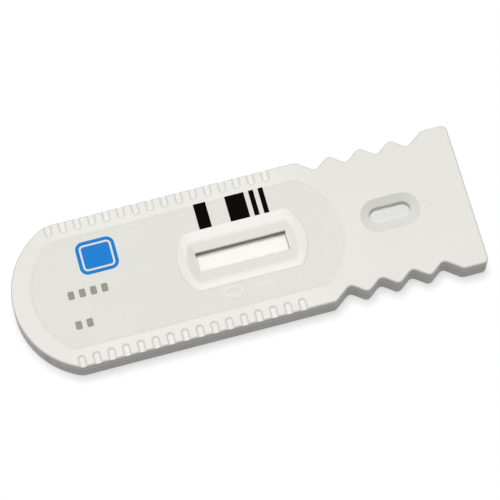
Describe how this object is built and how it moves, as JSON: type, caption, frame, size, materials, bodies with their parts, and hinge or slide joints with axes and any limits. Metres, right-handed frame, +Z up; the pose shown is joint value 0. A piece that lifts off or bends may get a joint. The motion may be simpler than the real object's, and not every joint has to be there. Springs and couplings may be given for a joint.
{
  "type": "lateral flow cassette",
  "caption": "Flat plastic test cassette with a rounded end, a waved finger grip, a reading window and an oval sample well over a test strip held between two moulded shells.",
  "frame": {"origin": "middle of the underside, at the centre of the plan box", "axes": "+X along the length towards the waved grip and the sample well, +Y across the width, +Z up through the window"},
  "size_m": [0.08, 0.0262, 0.005],
  "materials": {
    "housing": "moulded white polystyrene, fine matte",
    "card": "white vinyl sheet",
    "membrane": "smooth white nitrocellulose",
    "pad": "white fibre pad"
  },
  "bodies": {
    "root": {"lower_shell": "housing", "upper_shell": "housing", "backing_card": "card", "membrane": "membrane", "absorbent_pad": "pad", "conjugate_pad": "pad", "sample_pad": "pad"}
  },
  "joints": []
}
